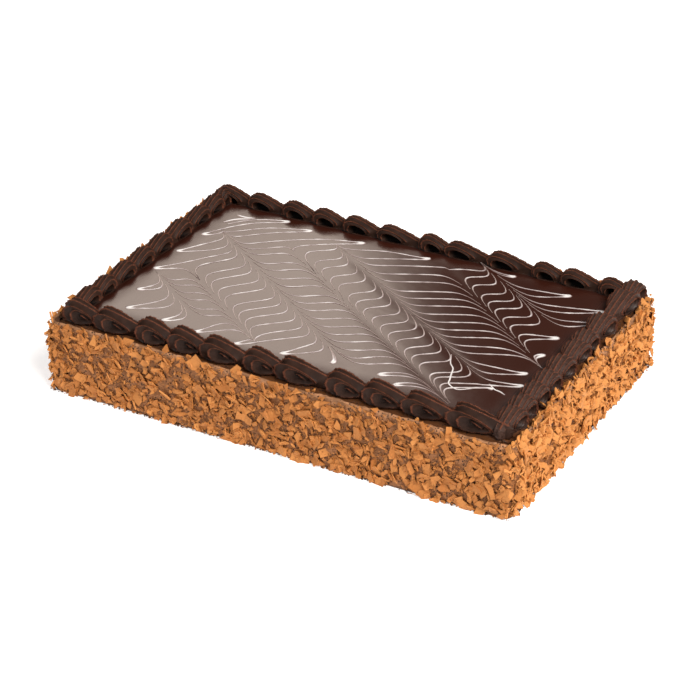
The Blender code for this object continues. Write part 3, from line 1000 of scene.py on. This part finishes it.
class Shell:
    """One piped shell: where its head starts, how far to the next head, its frame."""

    def __init__(self, start, run, outward, pitch, size, flanks, fall, ridges, groove, dry_and_sheen):
        self.start = np.array(start)
        self.run = np.array(run)
        outward = np.array(outward)
        rise = np.array((0, 0, 1.0))
        lean = SHELL_LEAN * SLOPE
        self.outward = outward * math.cos(SLOPE) - rise * math.sin(SLOPE)
        self.up = outward * math.sin(lean) + rise * math.cos(lean)
        self.length = pitch + TAIL_COVER
        self.height = SHELL_HEIGHT * size
        self.half_width = SHELL_WIDTH * size / 2
        self.reach = min(HEAD_REACH * size, 0.4 * self.length)
        self.flanks = flanks
        self.fall = fall
        self.ridges = ridges
        self.groove = groove
        self.dry_and_sheen = dry_and_sheen

    def outline(self, step):
        """Side view of the middle ridge: over the head, down the tail, back along the floor."""
        waist = WAIST * self.height
        angle = HEAD_START + (math.pi / 2 - HEAD_START) * np.minimum(step, HEAD_END) / HEAD_END
        rise = np.sin(angle)
        head_along = self.reach * (1 - np.cos(angle))
        below = waist * (1 - rise / math.sin(HEAD_START))
        head_height = np.where(rise < 0, below, waist + (self.height - waist) * rise)
        share = np.clip((step - HEAD_END) / (TAIL_END - HEAD_END), 0, 1)
        tail_along = self.reach + (self.length - self.reach) * share
        tail_height = self.height * (1 - self.fall * share**TAIL_SAG)
        tail_height = tail_height * (1 - np.clip((step - TAIL_END) / (1 - TAIL_END), 0, 1))
        foot = self.reach * (1 - math.cos(HEAD_START))
        back = np.clip((step - 1) / (LOOP_END - 1), 0, 1)
        tail_along = tail_along + (foot - self.length) * back
        in_head = step <= HEAD_END
        return np.where(in_head, head_along, tail_along), np.where(in_head, head_height, tail_height)

    def curl(self, step, inside, outside, flank):
        """A rounded loop on a flank: outermost ridge (outside 1), mouth (both 0), hook (inside 1)."""
        steps = (0, 0.2, HEAD_END, TAIL_END, 1, LOOP_END)
        turn = np.radians(np.interp(step, steps, (228, 165, 92, -18, -62, -132)))
        short = min(1.3, self.length / (2.45 * self.height))
        long_half = self.height * flank["long"] * (1 - flank["narrow"] * inside)
        long_half = long_half * (1 + flank["grow"] * outside)
        low_half = self.height * flank["low"] * (1 - 1.2 * flank["narrow"] * inside)
        lean = np.radians(flank["lean"] * (1 + 2.8 * inside))
        ahead = np.cos(turn) * long_half * short
        high = np.sin(turn) * low_half * (1 - flank["point"] * np.cos(turn))
        back = self.height * flank["back"] * outside * short
        sink = self.height * flank["sink"] * outside
        along = ahead * np.cos(lean) - high * np.sin(lean) - back
        return along, ahead * np.sin(lean) + high * np.cos(lean) - sink

    def surface(self, ring, step, depth, serration, phase):
        """Points of the shell for grids of ring (across) and step (round the loop)."""
        inner = self.half_surface(-np.minimum(ring, 0), step, depth, serration, phase, -1)
        outer = self.half_surface(np.maximum(ring, 0), step, depth, serration, phase, 1)
        left = ring < 0
        points = np.where(left[..., None], inner[0], outer[0])
        return points, np.where(left, inner[1], outer[1]), np.where(left, inner[2], outer[2])

    def ridge_crests(self, across, inside, slit, flank):
        """1 along each ridge, 0 in the grooves, fading into the flank's eye."""
        hook = self.ridges + (across - 1) / (HOOK_RING - 1)
        turn = np.where(across < 1, across * self.ridges, hook)
        open_mouth = 1 - flank["tunnel"] * np.clip(inside * 3, 0, 1)
        return (1 - np.abs(np.sin(np.pi * turn))) * (1 - slit) * open_mouth

    def teeth(self, step, across, phase, side):
        """Uneven saw teeth along a ridge, about -1 to 1, from waves that never fall in step."""
        saw = np.abs(((step * 33 + phase) % 1) * 2 - 1) - 0.5
        slow = 0.5 * np.sin(step * 61 + phase * 9 + side * across * 3)
        rough = 0.45 * np.sin(step * 149 + phase * 5 + across * 7) * np.sin(step * 23 + across * 11)
        fine = 0.5 * np.sin(step * 301 + phase * 7 + across * 9)
        return saw + slow + rough + fine * (0.6 + 0.4 * np.sin(step * 37 - across * 5))

    def half_surface(self, across, step, depth, serration, phase, side):
        """The half of the shell on its inner (-1) or outer (1) side."""
        flank = FLANKS[self.flanks[0 if side < 0 else 1]]
        angle = FLANK_ANGLE * np.minimum(across, 1)
        inside = np.clip((across - 1) / (HOOK_RING - 1), 0, 1)
        slit = np.clip((across - HOOK_RING) / (EYE_RING - HOOK_RING), 0, 1)
        outside = np.clip(2 - 2 * across, 0, 1)
        round_off = np.clip((across - flank["from"]) / 0.5, 0, 1) ** 1.1
        along, height = self.outline(step)
        crest = self.ridge_crests(across, inside, slit, flank)
        tooth = self.teeth(step, across, phase, side)
        sharp = crest**3
        groove = depth * self.groove * (1 + 0.5 * np.sin(np.pi * inside))
        swell = 1 - serration - groove * (1 - sharp * 0.6 - crest * 0.4) + serration * tooth * sharp
        scale = swell * (np.cos(angle) - inside * (math.cos(FLANK_ANGLE) - HOOK_SCALE)) * (1 - slit)
        eye_along = min(flank["along"] * self.reach, 0.58 * self.length)
        eye_height = flank["height"] * self.height
        taper = 1 - TAIL_TAPER * np.clip((along - self.reach) / (self.length - self.reach), 0, None)
        off_floor = np.maximum(np.minimum(1, height / (2 * eye_height)), inside)
        ahead = (along - eye_along) * scale
        high = height * scale + eye_height * off_floor * (1 - scale) - eye_height
        curl_ahead, curl_high = self.curl(step, inside, outside, flank)
        shrink = swell * (1 - slit)
        drift = inside * self.height * (1 - flank["tunnel"])
        curl_ahead = curl_ahead * shrink + SCROLL_DRIFT[0] * drift
        curl_high = curl_high * shrink + SCROLL_DRIFT[1] * drift
        along = eye_along + ahead * (1 - round_off) + curl_ahead * round_off
        high = np.maximum(eye_height + high * (1 - round_off) + curl_high * round_off, 0)
        wide = swell * self.breadth(angle, high, inside, slit, flank)
        flare = 1 + flank["flare"] * (0.25 - np.clip(along / self.length, 0, 1))
        wide = wide * side * self.half_width * taper * flare
        points = (
            self.start
            + self.run * along[..., None]
            + self.outward * wide[..., None]
            + self.up * high[..., None]
        )
        return points, *self.painted(crest, step, high, inside, round_off, flank)

    def breadth(self, angle, high, inside, slit, flank):
        """How far out from the shell's middle each point lies, from 0 to 1 at its foot."""
        tall = np.clip(high / self.height, 0, 1)
        wide = (np.sin(angle) / math.sin(FLANK_ANGLE)) ** (1 - FOOT_FLARE * (1 - tall))
        tunnel = flank["tunnel"] * np.clip(inside * 1.5, 0, 1) ** 0.7
        return wide * (1 - SLIT_DEPTH * slit) * (1 - TUNNEL_DEPTH * tunnel)

    def painted(self, crest, step, high, inside, round_off, flank):
        """How strongly each point's ridge shows copper, widened on the side rows as part dry edge, part
        painted sheen, and how much painted shade it takes deep in the flank's eye.
        """
        loose_tail = np.clip((step - 0.86) / 0.06, 0, 1) * (1 - round_off)
        under = np.interp(step, (0, 0.08, 0.8, 0.92, LOOP_END), (0.85, 1, 1, 0.88, 0.8))
        hooked = 1 - inside * (1 - np.interp(step, (0, 0.2, 0.45, 0.9, 1), (0, 0.8, 1, 0.7, 0)))
        crest = crest * np.clip(high / (1.2 * MM), 0.0, 1) * (1 - loose_tail)
        # On the side rows the copper edges are widened, part dry edge and part painted sheen.
        crest = crest * (1 + (under - 1) * round_off) * hooked * self.dry_and_sheen
        # Painted shade: the floor of a tunnel and the inside of a flank's eye are darkened.
        floor = flank["tunnel"] * np.clip(inside * 20, 0, 1) * np.clip(1 - high / MM, 0, 1)
        return crest, np.maximum(inside * (0.4 + 0.6 * flank["tunnel"]), 0.7 * floor)


# Each flank of a shell: how its ridges close round a scroll, a low arch or an open tunnel
FLANKS = {
    "scroll": {
        "along": 2.25, "height": 0.53, "long": 0.66, "low": 0.42, "lean": -9, "point": 0.22, "tunnel": 0,
        "narrow": 0.6, "grow": 0.42, "back": 0.36, "sink": 0.07, "from": 0.12, "flare": 0,
    },
    "arch": {
        "along": 1.6, "height": 0.18, "long": 0.52, "low": 0.34, "lean": -6, "point": 0.15, "tunnel": 1,
        "narrow": 0.3, "grow": 0.45, "back": 0.2, "sink": -0.22, "from": 0.3, "flare": 0.1,
    },
    "tunnel": {
        "along": 1.15, "height": 0.38, "long": 0.55, "low": 0.45, "lean": -8, "point": 0.1, "tunnel": 1,
        "narrow": 0.15, "grow": 0.36, "back": 0.1, "sink": -0.15, "from": 0.22, "flare": 0.45,
    },
}
# Each row: heads, end, outward, size, flanks, fall of the tail, ridges a side, share of the groove
# depth, how much its edges are widened and its grooves lightened, part dry edge and part painted sheen
ROWS = {
    "front": (FRONT_HEADS, 143, (0, -1, 0), 1.0, ("arch", "scroll"), 0.50, 2, 1.0, 1.0),
    "back": (BACK_HEADS, 141, (0, 1, 0), 0.93, ("arch", "arch"), 0.66, 3, 0.65, 1.0),
    "left": (LEFT_HEADS, -84, (-1, 0, 0), 0.95, ("arch", "arch"), 0.6, 3, 0.65, 1.03),
    "right": (RIGHT_HEADS, -90, (1, 0, 0), 0.97, ("arch", "tunnel"), 0.55, 3, 0.55, 1.12),
}


def row_of_shells(name):
    """The shells of one side, in the order in which they were piped."""
    heads, end, outward, size, *shape = ROWS[name]
    outward = Vector(outward)
    along_x = name in ("front", "back")
    run = Vector((1, 0, 0)) if along_x else Vector((0, -1, 0))
    half = HALF_WIDTH if along_x else HALF_LENGTH
    base = outward * (half - MIDDLE_INSET)
    base.z = slope_height(MIDDLE_INSET)
    rng = random.Random(f"{SEED} {name}")
    shells = []
    for head, after in zip(heads, (*heads[1:], end)):
        start = base + abs(head) * MM * (run if (head > 0) == along_x else -run)
        pitch = abs(after - head) * MM
        own_size = size * rng.uniform(0.96, 1.04)
        shells.append(Shell(start, run, outward, pitch, own_size, *shape))
    return shells


def ring_stations(ridges):
    """Where the rings lie across a shell, closer together at each ridge."""
    near = (0, 0.045, 0.11, 0.24, 0.5) if ridges == 2 else (0, 0.07, 0.2, 0.5)
    period = [*near, *(1 - share for share in near[-2:0:-1])]
    flank = [(turn + share) / ridges for turn in range(ridges) for share in period]
    hook = [1.0, 1.02, 1.06, 1.15, 1.28, 1.39, 1.455, 1.485, 1.5, 1.52, 1.56, EYE_RING]
    side = [*flank, *hook]
    return np.array([*(-share for share in reversed(side[1:])), *side])


def shell_mesh(shell, ring, step, sizes, phase):
    """One shell, closed by a pole on each flank: its points, faces and painted values."""
    grid_ring, grid_step = np.meshgrid(ring, step, indexing="ij")
    place, crest, deep_shade = shell.surface(
        grid_ring, grid_step, sizes.ridge_depth, sizes.serration, phase
    )
    foot = np.clip(1 - (place - shell.start) @ shell.up / WET_HEIGHT, 0, 1)
    rows, steps = len(ring) - 2, len(step)
    faces = []
    for row in range(0, (rows - 1) * steps, steps):
        for j in range(steps):
            after = (j + 1) % steps
            faces.append((row + j, row + after, row + steps + after, row + steps + j))
    last, pole = (rows - 1) * steps, rows * steps
    for j in range(steps):
        after = (j + 1) % steps
        faces.append((pole, after, j))
        faces.append((pole + 1, last + j, last + after))
    poles = [place[0].mean(axis=0), place[-1].mean(axis=0)]
    points = np.concatenate([place[1:-1].reshape(-1, 3), poles])
    values = {}
    for key, grid, at_pole in (
        ("crest", crest, 0), ("flow", grid_ring, 0), ("deep_shade", deep_shade, 1),
        ("along", grid_step, 0), ("foot", foot, 0),
    ):
        values[key] = np.append(grid[1:-1].ravel(), (at_pole, at_pole))
    # Part dust, part painted sheen: lightens the grooves of the side rows, most on the right.
    values["dust_and_sheen"] = np.full(len(points), (shell.dry_and_sheen - 1) * DUST_AND_SHEEN_SCALE)
    return points, faces, values


def make_border_row(name, sizes, material):
    """All shells of one side, each tail running on under the next head."""
    shells = row_of_shells(name)
    ring = ring_stations(shells[0].ridges)
    on_floor = np.linspace(1, LOOP_END, FLOOR_STEPS)[1:-1]
    step = np.concatenate([np.linspace(0, 1, TOP_STEPS), on_floor])
    rng = random.Random(f"{SEED} {name} teeth")
    points, faces, values = joined(
        shell_mesh(shell, ring, step, sizes, rng.random()) for shell in shells
    )
    nodes = [f"shell_{name}_{index + 1:02d}" for index in range(len(shells))]
    dress(f"border_{name}", points, faces, material, values, nodes)


def make_floor(studio):
    """One large plain square under the cake."""
    bm = bmesh.new()
    bmesh.ops.create_grid(bm, x_segments=8, y_segments=8, size=6)
    mesh = bpy.data.meshes.new("floor")
    bm.to_mesh(mesh)
    bm.free()
    mesh.materials.append(plain_finish("pale_floor", studio.floor, 0.9))
    floor = bpy.data.objects.new("floor", mesh)
    bpy.context.scene.collection.objects.link(floor)


def make_stage(studio):
    """Floor, camera, three soft lights and the room's own dim light, in the photo's framing."""
    scene = bpy.context.scene
    scene.view_settings.view_transform = "Standard"
    make_floor(studio)
    target = Vector((0, 0, RIM_HEIGHT / 2))
    flat = math.cos(studio.elevation)
    back = Vector((
        math.sin(studio.azimuth) * flat, -math.cos(studio.azimuth) * flat,
        math.sin(studio.elevation),
    ))
    lens = bpy.data.cameras.new("camera")
    lens.lens = studio.lens
    lens.sensor_width = 36
    lens.shift_x, lens.shift_y = CAMERA_SHIFT
    lens.clip_end = 50
    camera = bpy.data.objects.new("camera", lens)
    camera.location = target + back * studio.distance
    camera.rotation_euler = back.to_track_quat("Z", "Y").to_euler()
    scene.collection.objects.link(camera)
    scene.camera = camera

    for name, (place, size, colour), power in (
        ("key_light", KEY_LIGHT, studio.key), ("fill_light", FILL_LIGHT, studio.fill),
    ):
        add_light(name, place, target, size, power, colour)
    add_window(back, studio)

    world = bpy.data.worlds.new("room")
    world.use_nodes = True
    ground = world.node_tree.nodes["Background"]
    ground.inputs[0].default_value = ROOM_COLOUR
    ground.inputs[1].default_value = studio.surround
    scene.world = world


def add_light(name, place, target, size, power, colour):
    """A rectangular soft light that faces the cake."""
    lamp = bpy.data.lights.new(name, "AREA")
    lamp.shape = "RECTANGLE"
    lamp.size, lamp.size_y = size
    lamp.energy = power
    lamp.color = colour
    thing = bpy.data.objects.new(name, lamp)
    thing.location = place
    thing.rotation_euler = (Vector(place) - Vector(target)).to_track_quat("Z", "Y").to_euler()
    thing.visible_camera = False
    bpy.context.scene.collection.objects.link(thing)
    return thing


def add_window(back, studio):
    """The soft box that the glaze mirrors to the camera; its near edge crosses the cake."""
    away = Vector((-back.x, -back.y, back.z))
    sideways = Vector((0, 0, 1)).cross(away).normalized()
    upward = away.cross(sideways)
    turn = WINDOW_TURN
    edge_up = upward * math.cos(turn) - sideways * math.sin(turn)
    edge_out = sideways * math.cos(turn) + upward * math.sin(turn)
    place = Vector((0, 0, GLAZE_HEIGHT)) + away * WINDOW_DISTANCE
    place += edge_out * (WINDOW_SIZE[0] / 2 + WINDOW_EDGE)
    window = add_light("window_light", place, place - away, WINDOW_SIZE, studio.window, WINDOW_COLOUR)
    window.rotation_euler = Matrix((edge_out, edge_up, away)).transposed().to_euler()
    soften_edge(window.data)


def soften_edge(lamp):
    """Lets the soft box fade towards its rim, so that its mirror image has a soft edge."""
    lamp.use_nodes = True
    tree = lamp.node_tree
    emission = next(node for node in tree.nodes if node.type == "EMISSION")
    place = tree.nodes.new("ShaderNodeNewGeometry")
    split = tree.nodes.new("ShaderNodeSeparateXYZ")
    tree.links.new(place.outputs["Parametric"], split.inputs[0])
    ramps = []
    for axis, soft in enumerate(WINDOW_SOFT):
        ramp = tree.nodes.new("ShaderNodeValToRGB")
        stops = ramp.color_ramp
        stops.interpolation = "EASE"
        stops.elements[0].color = (0, 0, 0, 1)
        stops.elements[1].position = soft
        stops.elements[1].color = (1, 1, 1, 1)
        stops.elements.new(1 - soft).color = (1, 1, 1, 1)
        stops.elements.new(1.0).color = (0, 0, 0, 1)
        tree.links.new(split.outputs[axis], ramp.inputs[0])
        ramps.append(ramp)
    both = tree.nodes.new("ShaderNodeMath")
    both.operation = "MULTIPLY"
    tree.links.new(ramps[0].outputs[0], both.inputs[0])
    tree.links.new(ramps[1].outputs[0], both.inputs[1])
    tree.links.new(both.outputs[0], emission.inputs["Strength"])


class OPERACAKE_OT_stage(bpy.types.Operator):
    """Set up the floor, the lights and the camera"""

    bl_idname = "opera_cake.stage"
    bl_label = "Stage"

    def execute(self, context):
        make_stage(context.scene.cake_studio)
        return {"FINISHED"}


class OPERACAKE_OT_coat(bpy.types.Operator):
    """Make the crumb-coated body with its lip and ledge"""

    bl_idname = "opera_cake.coat"
    bl_label = "Crumb coat"

    def execute(self, context):
        make_coat(context.scene.cake_colours)
        return {"FINISHED"}


class OPERACAKE_OT_flakes(bpy.types.Operator):
    """Press the chocolate flakes and splinters into the four sides"""

    bl_idname = "opera_cake.flakes"
    bl_label = "Flakes"

    def execute(self, context):
        make_flakes(context.scene.cake_sizes, context.scene.cake_colours)
        return {"FINISHED"}


class OPERACAKE_OT_crumbs(bpy.types.Operator):
    """Drop dark crumbs along the bottom edge"""

    bl_idname = "opera_cake.crumbs"
    bl_label = "Crumbs"

    def execute(self, context):
        make_crumbs(context.scene.cake_sizes, context.scene.cake_colours)
        return {"FINISHED"}


class OPERACAKE_OT_glaze(bpy.types.Operator):
    """Pour the mirror glaze"""

    bl_idname = "opera_cake.glaze"
    bl_label = "Mirror glaze"

    def execute(self, context):
        make_glaze(context.scene.cake_sizes, context.scene.cake_colours)
        return {"FINISHED"}


class OPERACAKE_OT_feathering(bpy.types.Operator):
    """Pipe the white zigzag and drag it into feathers"""

    bl_idname = "opera_cake.feathering"
    bl_label = "Feathered icing"

    def execute(self, context):
        make_feathering(context.scene.cake_sizes, context.scene.cake_colours)
        return {"FINISHED"}


class OPERACAKE_OT_border(bpy.types.Operator):
    """Pipe the four rows of ganache shells"""

    bl_idname = "opera_cake.border"
    bl_label = "Piped border"

    def execute(self, context):
        material = ganache_finish(context.scene.cake_colours)
        for side in SIDES:
            make_border_row(side, context.scene.cake_sizes, material)
        return {"FINISHED"}


class OPERACAKE_PT_panel(bpy.types.Panel):
    """Lists the cake's pieces in the order in which they are made"""

    bl_idname = "OPERACAKE_PT_panel"
    bl_label = "Opera Cake"
    bl_space_type = "VIEW_3D"
    bl_region_type = "UI"
    bl_category = "Opera Cake"

    def draw(self, context):
        for operator in OPERATORS:
            self.layout.operator(operator.bl_idname)
        for group in (context.scene.cake_sizes, context.scene.cake_colours, context.scene.cake_studio):
            column = self.layout.column(align=True)
            for name in group.__annotations__:
                column.prop(group, name)


OPERATORS = (
    OPERACAKE_OT_stage,
    OPERACAKE_OT_coat,
    OPERACAKE_OT_flakes,
    OPERACAKE_OT_crumbs,
    OPERACAKE_OT_glaze,
    OPERACAKE_OT_feathering,
    OPERACAKE_OT_border,
)
GROUPS = (CakeSizes, CakeColours, CakeStudio)


def register():
    for group in (*GROUPS, *OPERATORS, OPERACAKE_PT_panel):
        bpy.utils.register_class(group)
    bpy.types.Scene.cake_sizes = bpy.props.PointerProperty(type=CakeSizes)
    bpy.types.Scene.cake_colours = bpy.props.PointerProperty(type=CakeColours)
    bpy.types.Scene.cake_studio = bpy.props.PointerProperty(type=CakeStudio)


def unregister():
    del bpy.types.Scene.cake_studio
    del bpy.types.Scene.cake_colours
    del bpy.types.Scene.cake_sizes
    for group in (OPERACAKE_PT_panel, *reversed(OPERATORS), *reversed(GROUPS)):
        bpy.utils.unregister_class(group)


def main():
    register()
    for operator in OPERATORS:
        module, name = operator.bl_idname.split(".")
        getattr(getattr(bpy.ops, module), name)()


if __name__ == "__main__":
    main()
